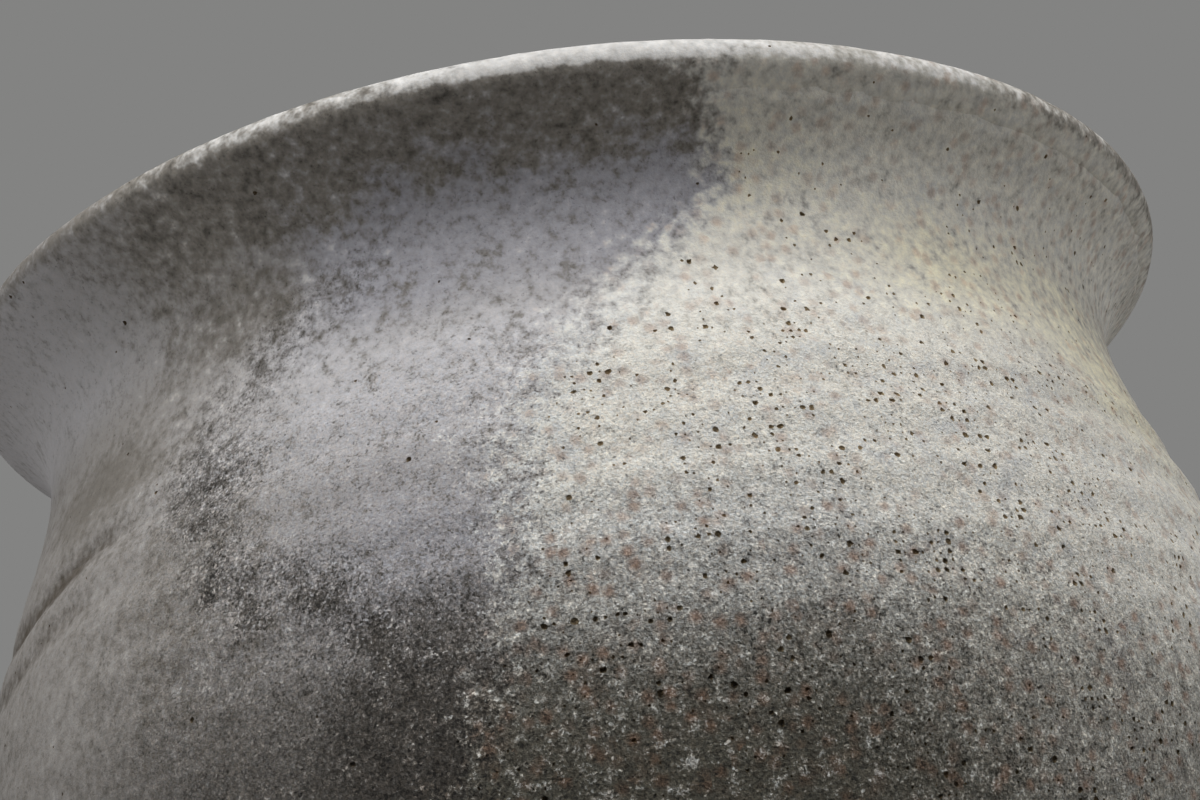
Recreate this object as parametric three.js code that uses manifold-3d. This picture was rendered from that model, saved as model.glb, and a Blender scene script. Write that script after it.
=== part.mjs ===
// A deep stoneware bowl with a waisted neck and a flared lip, thrown in sections and luted together.
// Units are millimetres, +Z is up and the bowl stands on z = 0. The photographed side faces -Y.

import * as THREE from 'three';
import { mergeVertices } from 'three/addons/utils/BufferGeometryUtils.js';
import Module from 'manifold-3d';

// Outside form; the lip lines up with the belly and stands out past it a little
const HEIGHT = 132;
const LIP_OVERHANG = 0.3;
const LIP_THICKNESS = 4;
const FLARE_ANGLE = THREE.MathUtils.degToRad(49.5);
const NECK_RADIUS = 66;
const NECK_DROP = 16;
const BELLY_RADIUS = 74.7;
const BELLY_HEIGHT = 73;
const BASE_RADIUS = 44;

// Walls and floor
const BELLY_WALL = 5.5;
const NECK_WALL = 4.8;
const FLOOR_THICKNESS = 7;
const FLOOR_RADIUS = 30;

// Foot ring, turned with a slight taper and broken edges
const FOOT_HEIGHT = 8;
const FOOT_RADIUS = 42;
const FOOT_WIDTH = 7;
const FOOT_TAPER = 1;
const FOOT_EDGE = 0.8;

// Luted joints: a slip layer between two clay faces, and the crease it leaves outside
const SLIP_THICKNESS = 0.8;
const SEAM_DROP = 35;
const SEAM_BEVEL = 3;
const SEAM_CREASE = 0.6;
const FOOT_SLIP_INSET = 0.6;

// Throwing rings left by the fingers on the shoulder, valleys in step with the seam
const RING_PITCH = 6.5;
const RING_DEPTH = 0.4;
const RINGS_BELOW_SEAM = 4;
const RINGS_ABOVE_SEAM = 2;

// Fused ash on the side that faced the fire
const ASH_THICKNESS = 0.35;
const ASH_GAP = 0.1;
const ASH_FACING = THREE.MathUtils.degToRad(60);
const ASH_LOW_EDGE = 46;
const ASH_HALF_WIDTH = 73;
const ASH_DRIP = 5;

// Fineness of the facets
const ROUND_STEPS = 60;
const WALL_STEP = 6;
const LIP_STEPS = 7;

// Sizes that follow from those above; neck and seam are measured down from the lip
const LIP_RADIUS = BELLY_RADIUS + LIP_OVERHANG;
const NECK_HEIGHT = HEIGHT - NECK_DROP;
const SEAM_HEIGHT = HEIGHT - SEAM_DROP;
const BASE_HEIGHT = FOOT_HEIGHT + SLIP_THICKNESS;
const FLOOR_HEIGHT = BASE_HEIGHT + FLOOR_THICKNESS;
const RING_LOW = SEAM_HEIGHT - RINGS_BELOW_SEAM * RING_PITCH;
const RING_HIGH = SEAM_HEIGHT + RINGS_ABOVE_SEAM * RING_PITCH;

// The lip is a round nose on a flare: its centre, the flare's direction and the nose's two ends
const flareDirection = new THREE.Vector2(Math.sin(FLARE_ANGLE), Math.cos(FLARE_ANGLE));
const flareAcross = new THREE.Vector2(flareDirection.y, -flareDirection.x);
const noseCentre = new THREE.Vector2(LIP_RADIUS - LIP_THICKNESS / 2, HEIGHT - LIP_THICKNESS / 2);
const noseOuter = noseCentre.clone().addScaledVector(flareAcross, LIP_THICKNESS / 2);
const noseInner = noseCentre.clone().addScaledVector(flareAcross, -LIP_THICKNESS / 2);

// One face of the wall, from where it springs up to the lip, as three curves that meet at belly and neck
function wallCurves(spring, springRise, bellyRadius, neckRadius, lipEnd) {
  const lowRise = BELLY_HEIGHT - spring.y;
  const shoulderRise = NECK_HEIGHT - BELLY_HEIGHT;
  const flareRise = lipEnd.y - NECK_HEIGHT;
  const belly = new THREE.Vector2(bellyRadius, BELLY_HEIGHT);
  const neck = new THREE.Vector2(neckRadius, NECK_HEIGHT);
  const lower = new THREE.CubicBezierCurve(
    spring,
    new THREE.Vector2(spring.x + 0.55 * (bellyRadius - spring.x), spring.y + springRise * lowRise),
    new THREE.Vector2(bellyRadius, spring.y + 0.6 * lowRise),
    belly,
  );
  const shoulder = new THREE.CubicBezierCurve(
    belly,
    new THREE.Vector2(bellyRadius, BELLY_HEIGHT + 0.48 * shoulderRise),
    new THREE.Vector2(neckRadius, NECK_HEIGHT - 0.3 * shoulderRise),
    neck,
  );
  const flare = new THREE.CubicBezierCurve(
    neck,
    new THREE.Vector2(neckRadius, NECK_HEIGHT + 0.5 * flareRise),
    lipEnd.clone().addScaledVector(flareDirection, -0.45 * flareRise),
    lipEnd,
  );
  return [lower, shoulder, flare];
}

const outerCurves = wallCurves(
  new THREE.Vector2(BASE_RADIUS, BASE_HEIGHT),
  0.12,
  BELLY_RADIUS,
  NECK_RADIUS,
  noseOuter,
);
const innerCurves = wallCurves(
  new THREE.Vector2(FLOOR_RADIUS, FLOOR_HEIGHT),
  0,
  BELLY_RADIUS - BELLY_WALL,
  NECK_RADIUS - NECK_WALL,
  noseInner,
);

// Radius of a wall face at a height: halve the span of the curve that holds the height
function radiusAt(curves, height) {
  const curve = curves.find((c) => height <= c.v3.y) ?? curves[curves.length - 1];
  let low = 0;
  let high = 1;
  for (let step = 0; step < 40; step++) {
    const middle = (low + high) / 2;
    if (curve.getPoint(middle).y < height) low = middle;
    else high = middle;
  }
  return curve.getPoint((low + high) / 2).x;
}

// Shallow finger grooves that fade out towards the belly and the neck
function ringOffset(height) {
  const fade =
    THREE.MathUtils.smoothstep(height, RING_LOW, RING_LOW + RING_PITCH) *
    (1 - THREE.MathUtils.smoothstep(height, RING_HIGH - RING_PITCH, RING_HIGH));
  return -RING_DEPTH * fade * (0.5 + 0.5 * Math.cos((2 * Math.PI * (height - SEAM_HEIGHT)) / RING_PITCH));
}

function outerPoint(height) {
  return new THREE.Vector2(radiusAt(outerCurves, height) + ringOffset(height), height);
}

function innerPoint(height) {
  return new THREE.Vector2(radiusAt(innerCurves, height), height);
}

// Heights between two ends, evenly spaced at about the given step, both ends included
function heights(from, to, step) {
  const count = Math.max(1, Math.round(Math.abs(to - from) / step));
  return Array.from({ length: count + 1 }, (_, i) => from + ((to - from) * i) / count);
}

// Stations up the outside, closer together where the throwing rings are
function outerStations(from, to) {
  const marks = [from, ...[RING_LOW, RING_HIGH].filter((mark) => mark > from && mark < to), to];
  const stations = marks.slice(1).flatMap((mark, i) => {
    const ringed = marks[i] >= RING_LOW && mark <= RING_HIGH;
    return heights(marks[i], mark, ringed ? RING_PITCH / 4 : WALL_STEP / 1.5).slice(0, -1);
  });
  return [...stations, to];
}

// The bevelled seam: its lower and upper clay faces run up and inwards, one slip layer apart
const seamLow = SEAM_HEIGHT - SLIP_THICKNESS / 2;
const seamHigh = SEAM_HEIGHT + SLIP_THICKNESS / 2;
const seamLowOuter = outerPoint(seamLow);
const seamHighOuter = outerPoint(seamHigh);
const seamLowInner = innerPoint(seamLow + SEAM_BEVEL);
const seamHighInner = innerPoint(seamHigh + SEAM_BEVEL);

// A turned solid from its half-section, with the lathe's axis set upright
function turned(section) {
  return new THREE.LatheGeometry(section, ROUND_STEPS).rotateX(Math.PI / 2);
}

function closed(section) {
  return [...section, section[0].clone()];
}

function clay(name, geometry, color, roughness) {
  const mesh = new THREE.Mesh(geometry, new THREE.MeshStandardMaterial({ color, roughness, metalness: 0 }));
  mesh.name = name;
  return mesh;
}

// Foot ring: flat where it stands and where it is luted, tapered outside and in
function footRing() {
  const top = FOOT_HEIGHT;
  const inner = FOOT_RADIUS - FOOT_WIDTH;
  const section = [
    new THREE.Vector2(inner + FOOT_TAPER + FOOT_EDGE, 0),
    new THREE.Vector2(FOOT_RADIUS - FOOT_TAPER - FOOT_EDGE, 0),
    new THREE.Vector2(FOOT_RADIUS - FOOT_TAPER, FOOT_EDGE),
    new THREE.Vector2(FOOT_RADIUS, top),
    new THREE.Vector2(inner, top),
    new THREE.Vector2(inner + FOOT_TAPER, FOOT_EDGE),
  ];
  return clay('foot_ring', turned(closed(section)), '#8a7767', 0.95);
}

// Slip under the base: a flat washer, set in from both sides of the foot ring
function footJointSlip() {
  const outer = FOOT_RADIUS - FOOT_SLIP_INSET;
  const inner = FOOT_RADIUS - FOOT_WIDTH + FOOT_SLIP_INSET;
  const section = [
    new THREE.Vector2(inner, FOOT_HEIGHT),
    new THREE.Vector2(outer, FOOT_HEIGHT),
    new THREE.Vector2(outer, BASE_HEIGHT),
    new THREE.Vector2(inner, BASE_HEIGHT),
  ];
  return clay('foot_joint_slip', turned(closed(section)), '#6d5b4f', 0.95);
}

// Body: flat base, wall up to the seam's lower face, and the hollow inside down to the floor
function body() {
  const section = [
    new THREE.Vector2(0, BASE_HEIGHT),
    ...outerStations(BASE_HEIGHT, seamLow).map(outerPoint),
    ...heights(seamLow + SEAM_BEVEL, FLOOR_HEIGHT, WALL_STEP).map(innerPoint),
    new THREE.Vector2(0, FLOOR_HEIGHT),
  ];
  return clay('body', turned(section), '#84796f', 0.9);
}

// Slip in the shoulder seam: it lies on the bevel and stops short of the outside, which leaves the crease
function collarJointSlip() {
  const lowRun = seamLowInner.clone().sub(seamLowOuter);
  const highRun = seamHighInner.clone().sub(seamHighOuter);
  const section = [
    seamLowOuter.clone().addScaledVector(lowRun, SEAM_CREASE / lowRun.length()),
    seamHighOuter.clone().addScaledVector(highRun, SEAM_CREASE / highRun.length()),
    seamHighInner,
    seamLowInner,
  ];
  return clay('collar_joint_slip', turned(closed(section)), '#5f524a', 0.95);
}

// Neck collar: the seam's upper face, waisted neck, flare and round nose of the lip
function neckCollar() {
  const nose = new THREE.EllipseCurve(
    noseCentre.x,
    noseCentre.y,
    LIP_THICKNESS / 2,
    LIP_THICKNESS / 2,
    flareAcross.angle(),
    flareAcross.angle() + Math.PI,
  );
  const section = [
    ...outerStations(seamHigh, noseOuter.y).map(outerPoint).slice(0, -1),
    ...nose.getPoints(LIP_STEPS),
    ...heights(noseInner.y, seamHigh + SEAM_BEVEL, WALL_STEP).slice(1).map(innerPoint),
  ];
  return clay('neck_collar', turned(closed(section)), '#7b7069', 0.9);
}

// Closed meshes for cutting, and back
const wasm = await Module();
wasm.setup();

function toManifold(geometry) {
  const bare = geometry.clone();
  bare.deleteAttribute('normal');
  bare.deleteAttribute('uv');
  const merged = mergeVertices(bare.index ? bare.toNonIndexed() : bare, 1e-4);
  return new wasm.Manifold(
    new wasm.Mesh({
      numProp: 3,
      vertProperties: new Float32Array(merged.attributes.position.array),
      triVerts: new Uint32Array(merged.index.array),
    }),
  );
}

function toGeometry(manifold) {
  const mesh = manifold.getMesh();
  const geometry = new THREE.BufferGeometry();
  geometry.setAttribute('position', new THREE.BufferAttribute(mesh.vertProperties, 3));
  geometry.setIndex(new THREE.BufferAttribute(mesh.triVerts, 1));
  geometry.computeVertexNormals();
  return geometry;
}

// Ash crust: a skin that follows the wall, cut to the ragged patch that the fire reached
function ashGlazeCrust() {
  const stations = [...outerStations(BASE_HEIGHT, seamLow), ...outerStations(seamHigh, noseOuter.y)];
  const covered = stations.filter((height) => height > ASH_LOW_EDGE - 2 * WALL_STEP);
  const skin = (height, lift) => outerPoint(height).add(new THREE.Vector2(lift, 0));
  const section = [
    ...covered.map((height) => skin(height, ASH_GAP + ASH_THICKNESS)),
    ...covered.map((height) => skin(height, ASH_GAP)).reverse(),
  ];
  const side = (share, height) => new THREE.Vector2(share * ASH_HALF_WIDTH, height);
  const patch = new THREE.Shape();
  patch.moveTo(-0.75 * ASH_HALF_WIDTH, HEIGHT);
  patch.splineThru([
    side(-0.68, NECK_HEIGHT),
    side(-0.82, (NECK_HEIGHT + SEAM_HEIGHT) / 2),
    side(-0.94, (SEAM_HEIGHT + BELLY_HEIGHT) / 2),
    side(-1, BELLY_HEIGHT),
    side(-0.7, ASH_LOW_EDGE),
    side(-0.35, ASH_LOW_EDGE + ASH_DRIP),
    side(0, ASH_LOW_EDGE),
    side(0.35, ASH_LOW_EDGE + ASH_DRIP),
    side(0.75, ASH_LOW_EDGE),
    side(1, BELLY_HEIGHT),
    side(0.9, (SEAM_HEIGHT + BELLY_HEIGHT) / 2),
    side(0.7, NECK_HEIGHT),
    side(0.75, HEIGHT),
  ]);
  const reach = 2 * BELLY_RADIUS;
  const cutter = new THREE.ExtrudeGeometry(patch, { depth: reach, bevelEnabled: false, curveSegments: 5 })
    .rotateX(Math.PI / 2)
    .rotateZ(ASH_FACING);
  const crust = toManifold(turned(closed(section))).intersect(toManifold(cutter));
  return clay('ash_glaze_crust', toGeometry(crust), '#aaa392', 0.8);
}

const bowl = new THREE.Group();
bowl.name = 'stoneware_bowl';
bowl.add(footRing(), footJointSlip(), body(), collarJointSlip(), neckCollar(), ashGlazeCrust());

export default bowl;
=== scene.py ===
import math

import bpy
import numpy as np
from mathutils import Matrix, Vector, noise


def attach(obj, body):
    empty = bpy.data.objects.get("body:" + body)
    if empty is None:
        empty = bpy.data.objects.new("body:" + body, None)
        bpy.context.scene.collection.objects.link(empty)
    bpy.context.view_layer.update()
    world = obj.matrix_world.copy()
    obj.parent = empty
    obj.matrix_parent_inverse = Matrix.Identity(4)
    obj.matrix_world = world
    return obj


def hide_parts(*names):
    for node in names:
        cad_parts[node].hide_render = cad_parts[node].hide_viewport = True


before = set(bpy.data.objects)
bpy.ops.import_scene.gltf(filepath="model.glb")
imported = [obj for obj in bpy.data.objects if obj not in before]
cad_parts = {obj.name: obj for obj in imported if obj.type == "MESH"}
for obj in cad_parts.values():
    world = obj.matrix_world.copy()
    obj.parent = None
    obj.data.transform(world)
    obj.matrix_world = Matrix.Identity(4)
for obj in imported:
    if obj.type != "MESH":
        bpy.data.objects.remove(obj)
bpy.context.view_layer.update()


# Body: floor, belly and shoulder of coarse grey stoneware, thrown on the wheel in one piece.
# The wall springs from a flat base, swells to the belly and closes in to the seam under the neck.
# Its outside keeps the finger rings of the throwing and the colours of a wood firing.

# Sizes of the wall in mm
MM = 0.001
HEIGHT = 132.0
BASE_HEIGHT = 8.8
BASE_RADIUS = 44.0
BASE_EDGE = 0.8
BELLY_HEIGHT = 73.0
BELLY_RADIUS = 74.7
BELLY_WALL = 5.5
NECK_HEIGHT = 116.0
NECK_RADIUS = 66.0
NECK_WALL = 4.8
LIP_RADIUS = 75.0
LIP_THICKNESS = 4.0
FLARE_ANGLE = math.radians(49.5)
FLOOR_HEIGHT = 15.8
FLOOR_RADIUS = 30.0
SEAM_HEIGHT = 97.0
SLIP_THICKNESS = 0.8
SEAM_BEVEL = 3.0
SEAM_LOW = SEAM_HEIGHT - SLIP_THICKNESS / 2
SEAM_HIGH = SEAM_HEIGHT + SLIP_THICKNESS / 2

# How far the wall runs on before it bends, as shares of each curve's rise
SPRING_OUT = 0.55
OUTSIDE_SPRING_RISE = 0.12
INSIDE_SPRING_RISE = 0.0
BELLY_PULL_BELOW = 0.6
BELLY_PULL_ABOVE = 0.48
NECK_PULL_BELOW = 0.3
NECK_PULL_ABOVE = 0.5
LIP_PULL = 0.45

# Columns round the wall and steps along it in mm
COLUMNS = 520
OUTSIDE_STEP = 0.95
INSIDE_STEP = 2.2
FLAT_STEP = 6.0
CENTRE_RADIUS = 4.0
BEND_POINTS = 300
END_MARGIN = 0.01

flare = np.array([math.sin(FLARE_ANGLE), math.cos(FLARE_ANGLE)])
flare_across = np.array([flare[1], -flare[0]])
nose_centre = np.array([LIP_RADIUS, HEIGHT]) - LIP_THICKNESS / 2
nose_outer = nose_centre + flare_across * LIP_THICKNESS / 2
nose_inner = nose_centre - flare_across * LIP_THICKNESS / 2


def bend(start, start_pull, end_pull, end):
    """A smooth line of radius and height from start to end, drawn towards its two pull points."""
    t = np.linspace(0, 1, BEND_POINTS)[:, None]
    ends = (1 - t) ** 3 * np.array(start) + t**3 * np.array(end)
    return ends + 3 * (1 - t) ** 2 * t * np.array(start_pull) + 3 * (1 - t) * t**2 * np.array(end_pull)


def wall_face(spring, spring_rise, belly, neck, lip_end):
    """One face of the wall as radius and height, from where it springs up to the lip."""
    low_rise = BELLY_HEIGHT - spring[1]
    shoulder_rise = NECK_HEIGHT - BELLY_HEIGHT
    flare_rise = lip_end[1] - NECK_HEIGHT
    spring_pull = (spring[0] + SPRING_OUT * (belly - spring[0]), spring[1] + spring_rise * low_rise)
    belly_pull = (belly, spring[1] + BELLY_PULL_BELOW * low_rise)
    lower = bend(spring, spring_pull, belly_pull, (belly, BELLY_HEIGHT))
    shoulder = bend(
        (belly, BELLY_HEIGHT),
        (belly, BELLY_HEIGHT + BELLY_PULL_ABOVE * shoulder_rise),
        (neck, NECK_HEIGHT - NECK_PULL_BELOW * shoulder_rise),
        (neck, NECK_HEIGHT),
    )
    neck_pull = (neck, NECK_HEIGHT + NECK_PULL_ABOVE * flare_rise)
    flared = bend((neck, NECK_HEIGHT), neck_pull, lip_end - LIP_PULL * flare_rise * flare, lip_end)
    return np.vstack([lower, shoulder[1:], flared[1:]])


outside_face = wall_face(
    (BASE_RADIUS, BASE_HEIGHT), OUTSIDE_SPRING_RISE, BELLY_RADIUS, NECK_RADIUS, nose_outer
)
inside_face = wall_face(
    (FLOOR_RADIUS, FLOOR_HEIGHT),
    INSIDE_SPRING_RISE,
    BELLY_RADIUS - BELLY_WALL,
    NECK_RADIUS - NECK_WALL,
    nose_inner,
)


def between(face, low, high):
    """The stretch of a wall face between two heights, both ends included."""
    ends = [[np.interp(h, face[:, 1], face[:, 0]), h] for h in (low, high)]
    inner = face[(face[:, 1] > low + END_MARGIN) & (face[:, 1] < high - END_MARGIN)]
    return np.vstack([ends[:1], inner, ends[1:]])


def stepped(line, step):
    """Points about one step apart along a line, each with the direction that the surface faces there."""
    run = np.r_[0, np.cumsum(np.linalg.norm(np.diff(line, axis=0), axis=1))]
    along = np.gradient(line, run, axis=0)
    facing = np.stack([along[:, 1], -along[:, 0]], axis=1)
    even = np.linspace(0, run[-1], max(1, round(run[-1] / step)) + 1)
    return np.stack([np.interp(even, run, value) for value in (*line.T, *facing.T)], axis=1)


LUMP_FALL = 1.0
LUMP_SPLIT = 2.0


def lumps(points, size, octaves=1, offset=0.0):
    """Smooth noise from about -1 to 1 at each point, with lumps of about the given size."""
    shift = Vector((offset, offset, offset))
    places = (Vector(p) / size + shift for p in points)
    return np.array([noise.fractal(place, LUMP_FALL, LUMP_SPLIT, octaves) for place in places])


def smooth_step(low, high, value):
    """0 up to low and 1 from high on, or the other way round where low is the larger."""
    t = np.clip((value - low) / (high - low), 0, 1)
    return t * t * (3 - 2 * t)


def bell(value, centre, width):
    """1 at the centre, fading to nothing on both sides."""
    return np.exp(-(((value - centre) / width) ** 2))


# Sides of the bowl in degrees from the front, plus to the right: where each begins and where it is full
BACK_SIDE = (100, 155)
LEFT_SIDE = (-26, -54)

# The ash: its left edge as heights in mm and angles, its other edges, and where it thins out. Towards the
# bottom of the belly the colour is darkened further as painted shade
ASH_EDGE = (
    (40, -15), (60, -11), (70, -8.5), (78, -7), (88, -5.5), (97, -5),
    (104, -1), (110, 4), (114, 8.5), (119, 14), (130, 13.5),
)
ASH_EDGE_SOFT = 5.5
ASH_EDGE_SPREAD = 6.0
ASH_EDGE_SPREAD_AT = (103, 9)
ASH_FAR_EDGE = 132.0
ASH_FAR_SOFT = 10
ASH_LOW_EDGE = 42.0
ASH_LOW_SOFT = 6
CRUST_TOP = (126.2, 128.0)
THIN_ASH_AND_SHADE = (58, 95.5)
THIN_ASH_AND_SHADE_TILT = 0.25
THIN_ASH_AND_SHADE_TILT_FROM = 13
THIN_ASH_AND_SHADE_TILT_REACH = 40
LOW_RIGHT_SIDE = (10, 35)
LOW_RIGHT_TOP = (56, 74)

# Patches of colour: strength, degrees from the front, height, half width and half height in mm
YELLOW_PATCHES = ((0.4, 17, 121, 9, 7), (0.65, 36, 112, 15, 7), (0.7, 58, 104, 14, 14))
LILAC_PATCHES = ((1.0, -16, 101, 20, 8), (0.8, -3, 104, 11, 8), (0.6, -22, 110, 9, 4))
VIOLET_PATCHES = ((0.75, -10, 84, 19, 11),)
VIOLET_GAPS = ((0.5, -3, 108, 10, 6),)
BROWN_PATCHES = ((1.0, -48, 104, 13, 5), (0.8, -30, 116, 10, 5), (0.5, -32, 84, 11, 16))
# Where the painted shade on the ash is held back
SHADE_GAPS = ((0.7, 20, 120, 11, 7),)

# Bands of colour, by height in mm, by angle in degrees or by the share of another mark
LEFT_NECK_LILAC = (110, 118)
NECK_VIOLET = (107, 113)
NECK_VIOLET_START = (-30, -18)
LEFT_BELLY_BROWN = (92, 102)
FLASH_HEIGHT = (117, 125.5)
FLASH_DROP = 2.5
FLASH_DROP_AT = (-25, -5)
COOL_EDGE = (0.6, 1.0)
COOL_THIN = (0, 0.3)
COOL_END = (14, 28)
# Painted shade on the ash: under the flare at the neck, on the flare's underside, on the rim towards the
# right and down the far right side
NECK_SHADE_AT = (114, 5.5)
LIP_SHADE = (122, 127)
RIM_SHADE = (10, 26)
RIGHT_SHADE = (28, 48)
RIGHT_SHADE_AT = (102, 9)

# Where the grain is coarse, and where it turns finer
FINE_GRAIN = 0.12
COARSE_GRAIN = 1.13
FINE_NECK = (94, 112)
FINE_LEFT = (-24, -45)
FINE_RIGHT = (25, 60)

# Smoke: a trail of angles, heights, half widths in mm and strengths, and one broad patch
SMOKE_TRAIL = (
    (-16, 117, 2.0, 0.25),
    (-22, 113.5, 3.0, 0.4),
    (-28, 109, 4.0, 0.35),
    (-32, 103, 4.5, 0.42),
    (-31.5, 97, 5.0, 0.68),
    (-30.5, 91, 4.5, 0.53),
    (-28, 85.5, 4.0, 0.6),
    (-21, 82, 4.0, 0.75),
    (-14, 76, 6.0, 0.75),
)
SMOKE_PATCH_ANGLE = -13.5
SMOKE_PATCH_HEIGHT = 64
SMOKE_PATCH_WIDE = 12.5
SMOKE_PATCH_TALL = 18.5
SMOKE_PATCH_EDGE = (0.3, 1.25)

# Throwing rings, and the two creases that run round the left side
RING_PITCH = 6.5
RING_DEPTH = 0.3
RING_LOW = 68.0
RING_HIGH = 108.0
RING_FADE = 9
CREASE_DEPTH = 0.75
CREASE_WIDTH = 1.8
CREASE_DROP = 0.25
CREASE_DROP_FROM = -46
CREASE_DROP_REACH = 14
CREASE_START = (-36, -50)
CREASE_END = (60, 88)

# The lip: the dust on it and where it is wiped off, by angle
LIP_HEIGHT = (128.9, 129.7)
RIM_HEIGHT = (128.0, 129.4)
RIM_LEFT = (-24, -42)
RIM_RIGHT = (34, 50)
WIPED_LEFT = (2, -14)
WIPED_RIGHT = (8, 24)
WIPED_FAR_RIGHT = (32, 50)


def smoke_along(angle, height, radius, trail):
    """Smoke from 0 to 1 round a trail of angles, heights, half widths in mm and strengths."""
    smoke = np.zeros(len(angle))
    for (a0, h0, w0, s0), (a1, h1, w1, s1) in zip(trail, trail[1:]):
        here = np.stack([np.radians(angle - a0) * radius, height - h0], axis=1)
        run = np.stack([np.radians(a1 - a0) * radius, np.full(len(angle), h1 - h0)], axis=1)
        share = np.clip((here * run).sum(axis=1) / (run**2).sum(axis=1), 0, 1)
        away = np.linalg.norm(here - run * share[:, None], axis=1) / (w0 + (w1 - w0) * share)
        smoke = np.maximum(smoke, (s0 + (s1 - s0) * share) * np.exp(-(away**2)))
    return smoke


def fire_marks(points):
    """What the firing left at each point of the wall, and the shade painted on it, each mark from 0 to about
    1.
    """
    radius = np.hypot(points[:, 0], points[:, 1])
    broad = lumps(points, size=12.0, octaves=3)
    small = lumps(points, size=3.0, octaves=2, offset=31.0)
    tiny = lumps(points, size=1.1, octaves=2, offset=57.0)
    true_angle = np.degrees(np.arctan2(points[:, 0], -points[:, 1]))
    true_height = points[:, 2]
    angle = true_angle + 2.0 * broad + 1.2 * small
    height = true_height + 1.5 * broad + 0.8 * small

    def patches(spots):
        """Soft round patches, added up."""
        total = np.zeros(len(points))
        for strength, at_angle, at_height, wide, tall in spots:
            across = np.radians(angle - at_angle) * radius / wide
            upward = (height - at_height) / tall
            total += strength * np.exp(-(across**2) - upward**2)
        return total

    back = smooth_step(*BACK_SIDE, np.abs(angle))
    front = 1 - back
    left = smooth_step(*LEFT_SIDE, angle) * front
    rim = smooth_step(*RIM_HEIGHT, true_height) * front
    rim_left = rim * smooth_step(*RIM_LEFT, angle)
    rim_right = rim * smooth_step(*RIM_RIGHT, angle)
    marks = {"left": left}

    edge_heights, edge_angles = np.array(ASH_EDGE).T
    edge = np.interp(height, edge_heights, edge_angles)
    soft = ASH_EDGE_SOFT + ASH_EDGE_SPREAD * bell(height, *ASH_EDGE_SPREAD_AT)
    near_edge = smooth_step(edge - soft, edge + soft, angle + 1.5 * tiny)
    far_band = (ASH_FAR_EDGE - ASH_FAR_SOFT, ASH_FAR_EDGE + ASH_FAR_SOFT)
    far_edge = 1 - smooth_step(*far_band, angle + 12 * broad)
    low_band = (ASH_LOW_EDGE - ASH_LOW_SOFT, ASH_LOW_EDGE + ASH_LOW_SOFT)
    low_edge = smooth_step(*low_band, height + 5 * broad + 2 * tiny)
    marks["ash"] = near_edge * far_edge * low_edge * (1 - 0.6 * rim_right)
    marks["crust"] = marks["ash"] * (1 - smooth_step(*CRUST_TOP, true_height + 0.3 * small))

    # Darker towards the bottom of the belly: the ash thins there, and the darkening is also painted shade,
    # strongest at the front and held back on the left, the back and the low right
    tilt = THIN_ASH_AND_SHADE_TILT * np.clip(angle - THIN_ASH_AND_SHADE_TILT_FROM, 0, THIN_ASH_AND_SHADE_TILT_REACH) * front
    marks["thin_ash_and_shade"] = 1 - smooth_step(*THIN_ASH_AND_SHADE, height + tilt)
    low_right = smooth_step(*LOW_RIGHT_SIDE, angle) * front
    low_right *= 1 - 0.85 * smooth_step(*LOW_RIGHT_TOP, height)
    marks["thin_ash_and_shade"] *= 1 - 0.75 * (left + 0.8 * back) - 0.33 * low_right

    marks["yellow"] = np.clip(patches(YELLOW_PATCHES), 0, 1)
    left_neck = left * smooth_step(*LEFT_NECK_LILAC, height)
    marks["lilac"] = np.clip(patches(LILAC_PATCHES) + 0.8 * left_neck, 0, 1)
    neck_violet = smooth_step(*NECK_VIOLET, height) * smooth_step(*NECK_VIOLET_START, angle) * front
    marks["violet"] = np.maximum(neck_violet, patches(VIOLET_PATCHES)) * (1 - patches(VIOLET_GAPS))
    left_belly = left * (1 - smooth_step(*LEFT_BELLY_BROWN, height))
    marks["brown"] = np.clip(patches(BROWN_PATCHES) + 0.3 * left_belly + 0.75 * rim_left, 0, 1)

    flash_height = height + 2.0 * small + 1.2 * tiny - FLASH_DROP * smooth_step(*FLASH_DROP_AT, angle)
    marks["flash"] = smooth_step(*FLASH_HEIGHT, flash_height) * (1 - 0.9 * left - 0.5 * back)
    off_ash = 1 - smooth_step(*COOL_EDGE, marks["ash"])
    marks["cool"] = 0.8 * np.maximum(off_ash, smooth_step(*COOL_THIN, marks["thin_ash_and_shade"]))
    marks["cool"] *= 1 - 0.8 * smooth_step(*COOL_END, angle)
    # Painted shade on the ash under the flare, on the rim towards the right and down the far right side
    marks["shade"] = 0.38 * bell(height, *NECK_SHADE_AT) + 0.3 * smooth_step(*LIP_SHADE, height)
    marks["shade"] *= 1 - patches(SHADE_GAPS)
    marks["shade"] += 0.6 * rim * smooth_step(*RIM_SHADE, angle)
    marks["shade"] += 0.42 * smooth_step(*RIGHT_SHADE, angle) * bell(height, *RIGHT_SHADE_AT)

    marks["coarse"] = FINE_GRAIN + COARSE_GRAIN * (1 - smooth_step(*FINE_NECK, height))
    fine_sides = 0.75 * smooth_step(*FINE_LEFT, angle) + 0.5 * smooth_step(*FINE_RIGHT, angle)
    marks["coarse"] *= 1 - fine_sides * front

    trail = smoke_along(angle, height, radius, SMOKE_TRAIL) * (1 + 0.8 * small)
    patch_across = np.radians(angle - SMOKE_PATCH_ANGLE) * radius / SMOKE_PATCH_WIDE
    patch = np.hypot(patch_across, (height - SMOKE_PATCH_HEIGHT) / SMOKE_PATCH_TALL)
    marks["smoke"] = np.maximum(trail, 1 - smooth_step(*SMOKE_PATCH_EDGE, patch + 0.15 * broad))

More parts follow.
